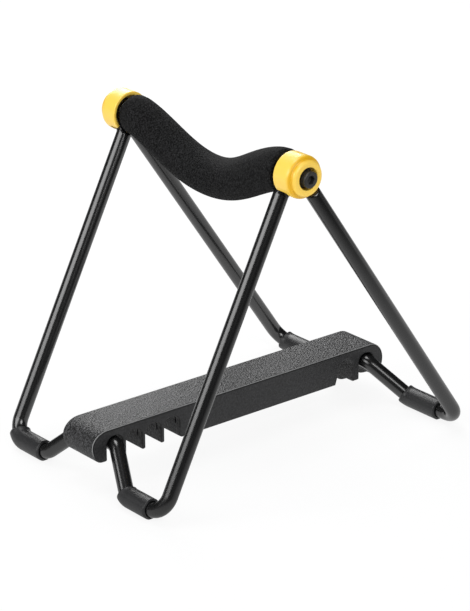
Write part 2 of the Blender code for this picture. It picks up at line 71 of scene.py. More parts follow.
bpy.context.scene.view_settings.view_transform = "Standard"

world = bpy.data.worlds.new("studio")
bpy.context.scene.world = world
world.use_nodes = True
sky = world.node_tree.nodes
sky.clear()
world_out = sky.new("ShaderNodeOutputWorld")
seen = sky.new("ShaderNodeBackground")
seen.inputs["Color"].default_value = (1.0, 1.0, 1.0, 1.0)
seen.inputs["Strength"].default_value = 1.0
cast = sky.new("ShaderNodeBackground")
cast.inputs["Color"].default_value = (0.96, 0.98, 1.0, 1.0)
cast.inputs["Strength"].default_value = 0.34
mirrored = sky.new("ShaderNodeBackground")
mirrored.inputs["Color"].default_value = (1.0, 1.0, 1.0, 1.0)
mirrored.inputs["Strength"].default_value = 0.04
ray = sky.new("ShaderNodeLightPath")
glossy_or_not = sky.new("ShaderNodeMixShader")
camera_or_not = sky.new("ShaderNodeMixShader")
wire = world.node_tree.links.new
wire(ray.outputs["Is Glossy Ray"], glossy_or_not.inputs["Fac"])
wire(cast.outputs["Background"], glossy_or_not.inputs[1])
wire(mirrored.outputs["Background"], glossy_or_not.inputs[2])
wire(ray.outputs["Is Camera Ray"], camera_or_not.inputs["Fac"])
wire(glossy_or_not.outputs["Shader"], camera_or_not.inputs[1])
wire(seen.outputs["Background"], camera_or_not.inputs[2])
wire(camera_or_not.outputs["Shader"], world_out.inputs["Surface"])


def softbox(name, centre, aim, width, height, watts):
    """A rectangular lamp at centre that faces the point aim."""
    lamp = bpy.data.lights.new(name, "AREA")
    lamp.shape = "RECTANGLE"
    lamp.size, lamp.size_y = width, height
    lamp.energy = watts
    placed = bpy.data.objects.new(name, lamp)
    placed.location = centre
    placed.rotation_euler = (Vector(aim) - Vector(centre)).to_track_quat("-Z", "Y").to_euler()
    bpy.context.scene.collection.objects.link(placed)


softbox("left_softbox", (-1.12, 0.08, 0.64), (0, 0, 0.09), 1.15, 0.5, 7.6)
softbox("back_softbox", (0.36, 0.80, 0.52), (0, 0, 0.06), 0.6, 0.45, 5.6)
softbox("overhead_softbox", (-0.10, 0.25, 1.50), (0, 0, 0.08), 0.6, 0.6, 6.0)
softbox("front_softbox", (-0.30, -1.60, 1.10), (0, 0, 0.08), 0.9, 0.9, 14.5)

sweep_mesh = bpy.data.meshes.new("sweep")
sweep_mesh.from_pydata([(-4, -4, 0), (4, -4, 0), (4, 4, 0), (-4, 4, 0)], [], [(0, 1, 2, 3)])
sweep = bpy.data.objects.new("sweep", sweep_mesh)
bpy.context.scene.collection.objects.link(sweep)

BACK_RIGHT = (0.6, 0.8, 0.0)

white_sweep = bpy.data.materials.new("white sweep")
white_sweep.use_nodes = True
paper = white_sweep.node_tree.nodes
paper.clear()
paper_out = paper.new("ShaderNodeOutputMaterial")
paper_diffuse = paper.new("ShaderNodeBsdfDiffuse")
paper_diffuse.inputs["Color"].default_value = (0.90, 0.90, 0.90, 1.0)
paper_white = paper.new("ShaderNodeEmission")
paper_white.inputs["Strength"].default_value = 1.0
paper_mirrored = paper.new("ShaderNodeEmission")
paper_place = paper.new("ShaderNodeTexCoord")
paper_reach = paper.new("ShaderNodeVectorMath")
paper_reach.operation = "DOT_PRODUCT"
paper_reach.inputs[1].default_value = BACK_RIGHT
paper_fall = paper.new("ShaderNodeMapRange")
paper_fall.interpolation_type = "SMOOTHSTEP"
paper_fall.inputs["From Min"].default_value = -0.38
paper_fall.inputs["From Max"].default_value = 0.10
paper_fall.inputs["To Min"].default_value = 0.03
paper_fall.inputs["To Max"].default_value = 0.85
paper_ray = paper.new("ShaderNodeLightPath")
shadow_share = paper.new("ShaderNodeMath")
shadow_share.operation = "MULTIPLY"
shadow_share.inputs[1].default_value = 0.88
seen_mix = paper.new("ShaderNodeMixShader")
mirror_mix = paper.new("ShaderNodeMixShader")
wire = white_sweep.node_tree.links.new
wire(paper_place.outputs["Object"], paper_reach.inputs[0])
wire(paper_reach.outputs["Value"], paper_fall.inputs["Value"])
wire(paper_fall.outputs["Result"], paper_mirrored.inputs["Strength"])
wire(paper_ray.outputs["Is Glossy Ray"], mirror_mix.inputs["Fac"])
wire(paper_diffuse.outputs["BSDF"], mirror_mix.inputs[1])
wire(paper_mirrored.outputs["Emission"], mirror_mix.inputs[2])
wire(paper_ray.outputs["Is Camera Ray"], shadow_share.inputs[0])
wire(shadow_share.outputs["Value"], seen_mix.inputs["Fac"])
wire(mirror_mix.outputs["Shader"], seen_mix.inputs[1])
wire(paper_white.outputs["Emission"], seen_mix.inputs[2])
wire(seen_mix.outputs["Shader"], paper_out.inputs["Surface"])
sweep_mesh.materials.append(white_sweep)


# Frame rods
# Two steel rods, 8 mm thick, bent cold into feet and a raised crossbar and painted gloss black.
# Each leg's top is pressed flat into a drilled eye, and both pairs of eyes share one hinge axis.

MM = 0.001
ROD_RADIUS = 4.0 * MM
HINGE_HEIGHT = 165.0 * MM
FOOT_HEIGHT = 5.3 * MM
LEG_LENGTH = {"inner": 179.3 * MM, "outer": 193.5 * MM}
LEG_SPREAD = {"inner": 63.2 * MM, "outer": 72.9 * MM}
EYE_PLACE = {"inner": 65.4 * MM, "outer": 69.5 * MM}
LEAN = {"inner": -math.acos((HINGE_HEIGHT - FOOT_HEIGHT) / LEG_LENGTH["inner"]),
        "outer": math.acos((HINGE_HEIGHT - FOOT_HEIGHT) / LEG_LENGTH["outer"])}
HINGE = np.array((-(LEG_LENGTH["outer"] * math.sin(LEAN["outer"])
                    + LEG_LENGTH["inner"] * math.sin(LEAN["inner"])) / 2, 0.0, HINGE_HEIGHT))
CROSSBAR_RISE = 20.4 * MM
CROSSBAR_CORNER = 13.6 * MM
LEG_BEND = 10.0 * MM
CROSSBAR_BEND = 8.0 * MM
EYE_RADIUS = 7.0 * MM
EYE_THICKNESS = 2.6 * MM
EYE_NECK = 7.6 * MM
EYE_END = 12.0 * MM
PIN_HOLE = 2.8 * MM


def finished(name, bm, finish, sharp=32.0):
    """Puts a bmesh into a new object with its faces out, smooth but for edges past the sharp angle."""
    bmesh.ops.remove_doubles(bm, verts=bm.verts, dist=1e-6)
    bmesh.ops.recalc_face_normals(bm, faces=bm.faces)
    mesh = bpy.data.meshes.new(name)
    bm.to_mesh(mesh)
    bm.free()
    mesh.shade_smooth()
    mesh.set_sharp_from_angle(angle=math.radians(sharp))
    mesh.materials.append(finish)
    made = bpy.data.objects.new(name, mesh)
    bpy.context.scene.collection.objects.link(made)
    return made


def skinned(rows, hoop=False):
    """A closed skin over an array of point rings (ring, point, xyz).

    Neighbouring rings are joined by quads. As a hoop the last ring joins the first; otherwise
    each end closes on a pole at the mean of its ring."""
    count, around = rows.shape[:2]
    i, j = np.meshgrid(np.arange(count if hoop else count - 1), np.arange(around), indexing="ij")
    here, there = i * around, ((i + 1) % count) * around
    quads = np.stack([here + j, here + (j + 1) % around, there + (j + 1) % around, there + j], axis=-1)
    points = rows.reshape(-1, 3)
    faces = quads.reshape(-1, 4).tolist()
    if not hoop:
        poles = np.array([rows[0].mean(axis=0), rows[-1].mean(axis=0)])
        k = np.arange(around)
        for ring, pole in ((0, len(points)), ((count - 1) * around, len(points) + 1)):
            fan = np.stack([ring + k, ring + (k + 1) % around, np.full(around, pole)], axis=-1)
            faces += fan.tolist()
        points = np.concatenate([points, poles])
    mesh = bpy.data.meshes.new("skin")
    mesh.from_pydata(points.tolist(), [], faces)
    bm = bmesh.new()
    bm.from_mesh(mesh)
    bpy.data.meshes.remove(mesh)
    return bm


def carved(piece, tool, operation="DIFFERENCE"):
    """Cuts a tool out of a piece, or welds it on, and leaves the result in the piece's own mesh."""
    boolean = piece.modifiers.new("carving", "BOOLEAN")
    boolean.operation = operation
    boolean.solver = "EXACT"
    boolean.object = tool
    ready = bpy.context.evaluated_depsgraph_get()
    shaped = bpy.data.meshes.new_from_object(piece.evaluated_get(ready))
    piece.modifiers.clear()
    uncut, piece.data = piece.data, shaped
    bpy.data.meshes.remove(uncut)
    bpy.data.objects.remove(tool)


def turned(profile, side, around=72):
    """Spins a closed (radius, distance along Y) profile round the hinge axis; side is -1 in front."""
    turn = np.linspace(0.0, 2 * math.pi, around, endpoint=False)[:, None]
    r, y = np.array(profile, float).T
    x = HINGE[0] + r * np.cos(turn)
    z = HINGE[2] + r * np.sin(turn)
    return skinned(np.stack([x, np.broadcast_to(side * y, x.shape), z], axis=-1), hoop=True)


def arc(centre, radii, start, end, steps):
    """Points of an ellipse from the start angle to the end angle, in degrees."""
    a = np.radians(np.linspace(start, end, steps + 1))
    points = np.stack([centre[0] + radii[0] * np.cos(a), centre[1] + radii[1] * np.sin(a)], axis=1)
    return [tuple(p) for p in points]


def eased(value, start, end):
    """A smooth rise from 0 at start to 1 at end: t squared times (3 - 2t)."""
    t = np.clip((value - start) / (end - start), 0.0, 1.0)
    return t * t * (3 - 2 * t)


def bent_line(which, top=EYE_END):
    """The rod's middle line in its frame's plane, as points (y, drop) and unit headings.

    Straight runs meet in round bends: each bend turns the heading evenly about a centre that
    lies its radius away, square to the run."""
    leg, spread = LEG_LENGTH[which], LEG_SPREAD[which]
    near = [(-spread, top), (-spread, leg), (-CROSSBAR_CORNER - CROSSBAR_RISE, leg),
            (-CROSSBAR_CORNER, leg - CROSSBAR_RISE)]
    corners = np.array(near + [(-y, drop) for y, drop in reversed(near)])
    bends = (LEG_BEND, CROSSBAR_BEND, CROSSBAR_BEND, CROSSBAR_BEND, CROSSBAR_BEND, LEG_BEND)
    runs = np.diff(corners, axis=0)
    runs /= np.linalg.norm(runs, axis=1)[:, None]
    points, headings = [corners[:1]], [runs[:1]]
    for corner, into, out, bend in zip(corners[1:-1], runs[:-1], runs[1:], bends):
        turn = math.atan2(into[0] * out[1] - into[1] * out[0], into @ out)
        normal = math.copysign(1.0, turn) * np.array((-into[1], into[0]))
        a = np.linspace(0.0, abs(turn), 17)[:, None]
        first = corner - into * bend * math.tan(abs(turn) / 2)
        points.append(first + bend * (np.sin(a) * into + (1 - np.cos(a)) * normal))
        headings.append(np.cos(a) * into + np.sin(a) * normal)
    points.append(corners[-1:])
    headings.append(runs[-1:])
    return np.concatenate(points), np.concatenate(headings)


def rod_rings(which, points, headings, across, through, boxiness, around=40):
    """Rings carried along a line in a frame's plane.

    Each ring is a superellipse, across the rod in the plane and through it: with a boxiness n,
    its sides follow cosine and sine to the power 2/n, so 2 is round and 5 nearly a flat bar."""
    down = np.array((math.sin(LEAN[which]), 0.0, -math.cos(LEAN[which])))
    normal = np.array((math.cos(LEAN[which]), 0.0, math.sin(LEAN[which])))
    along_y = np.array((0.0, 1.0, 0.0))
    across, through, boxiness = (np.broadcast_to(value, len(points))[:, None]
                                 for value in (across, through, boxiness))
    turn = (np.arange(around) + 0.5) * 2 * math.pi / around
    c = np.sign(np.cos(turn)) * np.abs(np.cos(turn)) ** (2 / boxiness)
    s = np.sign(np.sin(turn)) * np.abs(np.sin(turn)) ** (2 / boxiness)
    middle = HINGE + points[:, :1] * along_y + points[:, 1:] * down
    sideways = -headings[:, 1:] * along_y + headings[:, :1] * down
    return (middle[:, None, :] + (across * c)[..., None] * sideways[:, None, :]
            + (through * s)[..., None] * normal)


def eye_rings(which, side):
    """Rings of one flattened leg top: a round eye that narrows to its neck and swells to the rod."""
    along = EYE_RADIUS * np.concatenate([-np.cos(np.linspace(0.08, math.pi / 2, 14)),
                                         np.linspace(0.12, 1.05, 8)])
    wide = np.sqrt(np.clip(EYE_RADIUS ** 2 - along ** 2, 0.0, None))
    shoulder = 1 - eased(along, 0.6 * EYE_RADIUS, 1.08 * EYE_RADIUS)
    neck = ROD_RADIUS + (0.8 * EYE_RADIUS - ROD_RADIUS) * shoulder
    wide = np.where(along < 0.6 * EYE_RADIUS, wide, neck)
    along = np.concatenate([along, np.linspace(EYE_NECK, EYE_END, 14)[:-1]])
    wide = np.concatenate([wide, np.full(13, ROD_RADIUS)])
    swell = eased(along, EYE_NECK, EYE_END)
    y = EYE_PLACE[which] + (LEG_SPREAD[which] - EYE_PLACE[which]) * swell
    thick = EYE_THICKNESS / 2 + (ROD_RADIUS - EYE_THICKNESS / 2) * swell
    points = np.stack([side * y, along], axis=1)
    headings = np.broadcast_to((0.0, -float(side)), points.shape)
    return rod_rings(which, points, headings, thick, wide, 5.0 - 3.0 * swell)


def shader_nodes(name):
    """A new material with its own Principled shader, and a quick way to its sockets and wires."""
    made = bpy.data.materials.new(name)
    made.use_nodes = True
    return made, made.node_tree.nodes, made.node_tree.links.new


def shared_effect(name, inputs, outputs):
    """An empty node group with named number, colour or vector sockets."""
    kinds = {"number": "NodeSocketFloat", "colour": "NodeSocketColor", "vector": "NodeSocketVector"}
    group = bpy.data.node_groups.new(name, "ShaderNodeTree")
    for title, kind in inputs:
        group.interface.new_socket(name=title, in_out="INPUT", socket_type=kinds[kind])
    for title, kind in outputs:
        group.interface.new_socket(name=title, in_out="OUTPUT", socket_type=kinds[kind])
    return group, group.nodes.new("NodeGroupInput"), group.nodes.new("NodeGroupOutput")


# The skin effect gives every finish its small unevenness: a fine grain for height and colour,
# and slow patches that shift the tone and the gloss.

skin_effect, skin_in, skin_out = shared_effect(
    "surface skin",
    (("Place", "vector"), ("Tone", "colour"), ("Roughness", "number"), ("Grain Size", "number"),
     ("Grain Tint", "number"), ("Patch Size", "number"), ("Patch Tint", "number"), ("Gloss Drift", "number")),
    (("Tone", "colour"), ("Roughness", "number"), ("Grain", "number")))
wire = skin_effect.links.new
grain = skin_effect.nodes.new("ShaderNodeTexNoise")
grain.inputs["Detail"].default_value = 3.0
patch = skin_effect.nodes.new("ShaderNodeTexNoise")
patch.inputs["Detail"].default_value = 2.0
wire(skin_in.outputs["Place"], grain.inputs["Vector"])
wire(skin_in.outputs["Place"], patch.inputs["Vector"])


def number_step(tree, operation, first, second, third=None):
    """One math node in a node tree, fed by sockets or plain numbers; returns its output."""
    node = tree.nodes.new("ShaderNodeMath")
    node.operation = operation
    for slot, value in enumerate((first, second, third)):
        if value is None:
            continue
        if isinstance(value, (int, float)):
            node.inputs[slot].default_value = value
        else:
            tree.links.new(value, node.inputs[slot])
    return node.outputs["Value"]


wire(number_step(skin_effect, "DIVIDE", 1.0, skin_in.outputs["Grain Size"]), grain.inputs["Scale"])
wire(number_step(skin_effect, "DIVIDE", 1.0, skin_in.outputs["Patch Size"]), patch.inputs["Scale"])
grain_swing = number_step(skin_effect, "SUBTRACT", grain.outputs["Fac"], 0.5)
patch_swing = number_step(skin_effect, "SUBTRACT", patch.outputs["Fac"], 0.5)
lift = number_step(skin_effect, "MULTIPLY_ADD", grain_swing, skin_in.outputs["Grain Tint"], 1.0)
lift = number_step(skin_effect, "MULTIPLY_ADD", patch_swing, skin_in.outputs["Patch Tint"], lift)
shade = skin_effect.nodes.new("ShaderNodeVectorMath")
shade.operation = "SCALE"
wire(skin_in.outputs["Tone"], shade.inputs[0])
wire(number_step(skin_effect, "MAXIMUM", lift, 0.12), shade.inputs["Scale"])
wire(shade.outputs["Vector"], skin_out.inputs["Tone"])
wire(number_step(skin_effect, "MULTIPLY_ADD", patch_swing, skin_in.outputs["Gloss Drift"],
                 skin_in.outputs["Roughness"]), skin_out.inputs["Roughness"])
wire(grain.outputs["Fac"], skin_out.inputs["Grain"])


def skin_finish(name, tone, roughness, grain_size, grain_tint, patch_size, patch_tint, gloss_drift,
                bump_height, bump_strength=1.0, metallic=0.0):
    """A material whose shader takes tone, roughness and bump from the skin effect."""
    made, nodes, wired = shader_nodes(name)
    shader = nodes["Principled BSDF"]
    shader.inputs["Metallic"].default_value = metallic
    place = nodes.new("ShaderNodeTexCoord")
    skin = nodes.new("ShaderNodeGroup")
    skin.node_tree = skin_effect
    wired(place.outputs["Object"], skin.inputs["Place"])
    skin.inputs["Tone"].default_value = (*tone, 1.0)
    for title, value in (("Roughness", roughness), ("Grain Size", grain_size), ("Grain Tint", grain_tint),
                         ("Patch Size", patch_size), ("Patch Tint", patch_tint),
                         ("Gloss Drift", gloss_drift)):
        skin.inputs[title].default_value = value
    wired(skin.outputs["Tone"], shader.inputs["Base Color"])
    wired(skin.outputs["Roughness"], shader.inputs["Roughness"])
    bump = nodes.new("ShaderNodeBump")
    bump.inputs["Distance"].default_value = bump_height
    bump.inputs["Strength"].default_value = bump_strength
    wired(skin.outputs["Grain"], bump.inputs["Height"])
    wired(bump.outputs["Normal"], shader.inputs["Normal"])
    return made


black_paint = skin_finish("gloss black paint", (0.0045, 0.0045, 0.0048), roughness=0.24,
                          grain_size=1.6 * MM, grain_tint=0.15, patch_size=22 * MM, patch_tint=0.25,
                          gloss_drift=0.03, bump_height=0.0006 * MM)
black_paint.node_tree.nodes["Principled BSDF"].inputs["Specular IOR Level"].default_value = 1.0

for which in ("outer", "inner"):
    points, headings = bent_line(which)
    body_rings = rod_rings(which, points, headings, ROD_RADIUS, ROD_RADIUS, 2.0)
    rings = np.concatenate([eye_rings(which, -1), body_rings, eye_rings(which, 1)[::-1]])
    rod = finished(which + "_rod", skinned(rings), black_paint)
    for side in (-1, 1):
        hole = [(0.0001 * MM, EYE_PLACE[which] - EYE_THICKNESS), (PIN_HOLE, EYE_PLACE[which] - EYE_THICKNESS),
                (PIN_HOLE, EYE_PLACE[which] + EYE_THICKNESS), (0.0001 * MM, EYE_PLACE[which] + EYE_THICKNESS)]
        carved(rod, finished("drill", turned(hole, side, 40), black_paint))
    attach(rod, which + "_frame")
    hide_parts(which + "_frame_rod")


# Foot sleeves
# Four short lengths of dark rubber tube, pushed on the feet before the last bends are made. Each
# has slid to its own place, some of them a little way into a bend, and is pressed flat below.

SLEEVE_RADIUS = 5.5 * MM
SLEEVE_BORE = 4.3 * MM
SLEEVE_ROUND = 0.55 * MM
SLEEVE_PLACE = {("outer", -1): (32.0 * MM, 59.0 * MM), ("outer", 1): (44.0 * MM, 68.5 * MM),
                ("inner", -1): (33.0 * MM, 54.0 * MM), ("inner", 1): (36.0 * MM, 60.5 * MM)}

foot_rubber = skin_finish("dark rubber", (0.019, 0.019, 0.020), roughness=0.42, grain_size=0.5 * MM,
                          grain_tint=0.25, patch_size=9 * MM, patch_tint=0.3, gloss_drift=0.08,
                          bump_height=0.001 * MM)


def sleeve_skin(which, side):
    """A tube along the foot: outer and inner walls on the rod's line, the outer ends rounded off.

    The line is read at chosen places along Y, and whatever would reach under the floor is
    pressed up to it."""
    points, headings = bent_line(which)
    half = len(points) // 2
    start, end = SLEEVE_PLACE[which, side]
    inside = np.linspace(-end, -start, 49)
    drop, head_y, head_drop = (np.interp(inside, points[:half, 0], v[:half])
                               for v in (points[:, 1], headings[:, 0], headings[:, 1]))
    length = np.hypot(head_y, head_drop)
    line = np.stack([-side * inside, drop], axis=1)
    heads = np.stack([head_y / length, -side * head_drop / length], axis=1)
    lip = np.clip(np.minimum(inside - inside[0], inside[-1] - inside) / SLEEVE_ROUND, 0.0, 1.0)
    outer = SLEEVE_RADIUS - SLEEVE_ROUND * (1 - np.sqrt(1 - (1 - lip) ** 2))
    outside = rod_rings(which, line, heads, outer, outer, 2.0, 64)
    bore = rod_rings(which, line, heads, SLEEVE_BORE, SLEEVE_BORE, 2.0, 64)
    rings = np.concatenate([outside, bore[::-1]])
    rings[..., 2] = np.maximum(rings[..., 2], 0.0)
    return skinned(rings, hoop=True)


for which in ("outer", "inner"):
    for side, end in ((-1, "front"), (1, "back")):
        sleeve = finished(which + "_sleeve_" + end, sleeve_skin(which, side), foot_rubber, 50.0)
        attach(sleeve, which + "_frame")
        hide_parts(which + "_foot_sleeve_" + end)


# Saddle tube and its plugs
# A thin steel tube bent to the saddle's dip carries the foam. It has swung a little towards the
# outer foot. A black nylon plug closes each end and holds the thread of the pivot screw.

SADDLE_TILT = math.radians(8.0)
DIP_DEPTH = 19.0 * MM
DIP_HALF_LENGTH = 58.0 * MM
DIP_FULLNESS = 0.70
TUBE_RADIUS = 7.0 * MM
TUBE_WALL = 1.2 * MM
TUBE_END = 61.4 * MM


def dip(y):
    """Height of the saddle's axis: minus the depth times a raised cosine to the fullness power."""
    t = np.clip(np.abs(y) / DIP_HALF_LENGTH, 0.0, 1.0)
    return -DIP_DEPTH * (0.5 * (1 + np.cos(math.pi * t))) ** DIP_FULLNESS


def saddle_rings(y, radius, around, press=None):
    """Round rings square to the saddle's axis at the places y, all swung about the hinge by the tilt."""
    step = 0.05 * MM
    slope = np.arctan2(dip(y + step) - dip(y - step), 2 * step)[:, None]
    turn = np.linspace(0.0, 2 * math.pi, around, endpoint=False)[None, :]
    radius = np.broadcast_to(radius, (len(y),))[:, None]
    if press is not None:
        radius = radius + press(y[:, None], turn)
    lift = radius * np.sin(turn)
    out = radius * np.cos(turn)
    along = y[:, None] - lift * np.sin(slope)
    up = dip(y)[:, None] + lift * np.cos(slope)
    x = HINGE[0] + out * math.cos(SADDLE_TILT) - up * math.sin(SADDLE_TILT)
    z = HINGE[2] + out * math.sin(SADDLE_TILT) + up * math.cos(SADDLE_TILT)
    return np.stack([x, along, z], axis=-1)


drawn_steel = skin_finish("drawn steel tube", (0.52, 0.52, 0.53), roughness=0.33, grain_size=0.6 * MM,
                          grain_tint=0.2, patch_size=12 * MM, patch_tint=0.15, gloss_drift=0.1,
                          bump_height=0.01 * MM, metallic=1.0)
black_nylon = skin_finish("black nylon", (0.018, 0.018, 0.018), roughness=0.45, grain_size=0.5 * MM,
                          grain_tint=0.2, patch_size=6 * MM, patch_tint=0.2, gloss_drift=0.1,
                          bump_height=0.02 * MM)

tube_line = np.linspace(-TUBE_END, TUBE_END, 81)
tube_rings = np.concatenate([saddle_rings(tube_line, TUBE_RADIUS, 48),
                             saddle_rings(tube_line, TUBE_RADIUS - TUBE_WALL, 48)[::-1]])
tube = finished("tube", skinned(tube_rings, hoop=True), drawn_steel)
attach(tube, "saddle")
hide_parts("saddle_tube")

plug_bore, plug_body, plug_flange, plug_break = 2.8 * MM, 5.2 * MM, 6.95 * MM, 0.2 * MM
plug_start, flange_start, plug_end = 57.0 * MM, 61.7 * MM, 62.6 * MM
plug_profile = [(plug_bore, plug_start), (plug_body - plug_break, plug_start),
                (plug_body, plug_start + plug_break), (plug_body, flange_start),
                (plug_flange, flange_start), (plug_flange, plug_end - plug_break),
                (plug_flange - plug_break, plug_end), (plug_bore, plug_end)]
for side, end in ((-1, "front"), (1, "back")):
    plug = finished("plug_" + end, turned(plug_profile, side), black_nylon)
    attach(plug, "saddle")
    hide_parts("tube_plug_" + end)


# Foam saddle
# A tight sleeve of black closed-cell foam over the tube. Its skin shows the fine cells, with painted
# glints as light specks, and it is a touch uneven where it was stretched round the dip.

FOAM_RADIUS = 10.7 * MM
FOAM_BORE = 7.25 * MM
FOAM_END = 61.0 * MM
FOAM_ROUND = 2.0 * MM


def foam_swell(y, turn):
    """Slow unevenness of the foam's skin: three long waves along and round it, and a slight taper
    from the front end to the back."""
    waves = (np.sin(y / (6.1 * MM) + 2 * np.sin(turn)) + np.cos(y / (9.7 * MM) - turn)
             + np.sin(3 * turn + y / (13.0 * MM)))
    return 0.07 * MM * waves * eased(FOAM_END - np.abs(y), 0.0, 5 * MM) - 0.35 * MM * y / FOAM_END


ends = FOAM_ROUND * (1 - np.cos(np.linspace(0.0, math.pi / 2, 9)))
foam_line = np.concatenate([-FOAM_END + ends,
                            np.linspace(-FOAM_END + 2 * FOAM_ROUND, FOAM_END - 2 * FOAM_ROUND, 160),
                            FOAM_END - ends[::-1]])
rim = np.clip((FOAM_END - np.abs(foam_line)) / FOAM_ROUND, 0.0, 1.0)
foam_outer = FOAM_RADIUS - FOAM_ROUND * (1 - np.sqrt(1 - (1 - rim) ** 2))
foam_rings = np.concatenate([saddle_rings(foam_line, foam_outer, 96, foam_swell),
                             saddle_rings(foam_line[::3], FOAM_BORE, 96)[::-1]])

black_foam, nodes, wired = shader_nodes("black foam")
shader = nodes["Principled BSDF"]
shader.inputs["Roughness"].default_value = 0.92
shader.inputs["Specular IOR Level"].default_value = 0.16
shader.inputs["Sheen Weight"].default_value = 0.01
shader.inputs["Sheen Roughness"].default_value = 0.6
place = nodes.new("ShaderNodeTexCoord")
skin = nodes.new("ShaderNodeGroup")
skin.node_tree = skin_effect
wired(place.outputs["Object"], skin.inputs["Place"])
skin.inputs["Tone"].default_value = (0.0085, 0.0085, 0.0088, 1.0)
# A strong grain tint scatters light and dark specks through the black; the light ones are painted glints of
# the cells.
for title, value in (("Roughness", 0.92), ("Grain Size", 0.8 * MM), ("Grain Tint", 8.0),
                     ("Patch Size", 14 * MM), ("Patch Tint", 0.6), ("Gloss Drift", 0.0)):
    skin.inputs[title].default_value = value
cells = nodes.new("ShaderNodeTexVoronoi")
cells.inputs["Scale"].default_value = 1 / (0.55 * MM)
wired(place.outputs["Object"], cells.inputs["Vector"])
cell_height = nodes.new("ShaderNodeMath")
cell_height.operation = "ADD"
wired(skin.outputs["Grain"], cell_height.inputs[0])
wired(cells.outputs["Distance"], cell_height.inputs[1])
bump = nodes.new("ShaderNodeBump")
bump.inputs["Distance"].default_value = 0.22 * MM
bump.inputs["Strength"].default_value = 0.8
wired(cell_height.outputs["Value"], bump.inputs["Height"])
wired(skin.outputs["Tone"], shader.inputs["Base Color"])
wired(bump.outputs["Normal"], shader.inputs["Normal"])

foam = finished("foam", skinned(foam_rings, hoop=True), black_foam, 60.0)
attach(foam, "saddle")
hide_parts("saddle_foam")


# Hinge washers
# Outside each plug come a thrust washer, the inner frame's eye, a spacer, the outer frame's eye
# and the end cap, and under the screw's head a thin steel washer. The steel ones are blackened.

def ring_profile(bore, radius, start, thickness):
    """A flat ring's section with small rounded edges."""
    edge = 0.12 * thickness
    end = start + thickness
    return [(bore, start + edge), (bore + edge, start), (radius - edge, start), (radius, start + edge),
            (radius, end - edge), (radius - edge, end), (bore + edge, end), (bore, end - edge)]


RING_THICKNESS = 1.0 * MM

black_oxide = skin_finish("black oxide steel", (0.060, 0.059, 0.058), roughness=0.38,
                          grain_size=0.4 * MM, grain_tint=0.3, patch_size=4 * MM, patch_tint=0.3,
                          gloss_drift=0.14, bump_height=0.012 * MM, metallic=0.55)
ring_kinds = (("thrust_washer", 6.5 * MM, 62.85 * MM, black_nylon, "washer_nylon"),
              ("eye_spacer", 6.5 * MM, 66.95 * MM, black_nylon, "washer_nylon"),
              ("head_washer", 5.2 * MM, 73.55 * MM, black_oxide, "bolt_steel"))
for kind, radius, start, finish, slot in ring_kinds:
    section = ring_profile(PIN_HOLE, radius, start, RING_THICKNESS)
    for side, end in ((-1, "front"), (1, "back")):
        ring = finished(kind + "_disc_" + end, turned(section, side), finish)
        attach(ring, "saddle")
        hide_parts(kind + "_" + end)


# End caps
# Bright yellow moulded cups over the eyes. The barrel rounds over into a crease, out of which a
# smaller boss rises round the screw's counterbore, and the rim is cut away for the legs. Painted
# shade darkens the yellow to a deep orange within the crease.

CAP_RADIUS = 11.0 * MM
CAP_CAVITY = 9.2 * MM
CAP_RIM = 63.8 * MM
CAP_SEAT = 71.05 * MM
CAP_WINDOW = 70.9 * MM
CAP_RELIEF = 74.9 * MM
CAP_SHOULDER = 72.6 * MM
CAP_CREASE = 75.0 * MM
CAP_FACE = 77.6 * MM
CAP_BOSS = 9.35 * MM
CAP_BOSS_EDGE = 1.7 * MM
CAP_FILLET = 0.5 * MM
CAP_COUNTERBORE = 5.75 * MM
CAP_FLOOR = 73.3 * MM
CREASE_SHADE_SHIFT = 0.2 * MM
CREASE_SHADE_REACH = 1.25 * MM
CREASE_SHADE_STRENGTH = 2.2

yellow_plastic = skin_finish("yellow moulding", (0.97, 0.64, 0.085), roughness=0.36,
                             grain_size=0.35 * MM, grain_tint=0.05, patch_size=7 * MM,
                             patch_tint=0.04, gloss_drift=0.06, bump_height=0.008 * MM)
nodes, wired = yellow_plastic.node_tree.nodes, yellow_plastic.node_tree.links.new
nodes["Principled BSDF"].inputs["Specular IOR Level"].default_value = 0.75
skin = next(node for node in nodes if node.type == "GROUP")
# Painted shade: the crease attribute mixes the yellow towards a deep orange at the foot of the boss.
crease_shade_mark = nodes.new("ShaderNodeAttribute")
crease_shade_mark.attribute_name = "crease"
crease_shaded = nodes.new("ShaderNodeMix")
crease_shaded.data_type = "RGBA"
crease_shaded.inputs["B"].default_value = (0.78, 0.43, 0.0, 1.0)
wired(crease_shade_mark.outputs["Fac"], crease_shaded.inputs["Factor"])
wired(skin.outputs["Tone"], crease_shaded.inputs["A"])
wired(crease_shaded.outputs["Result"], nodes["Principled BSDF"].inputs["Base Color"])


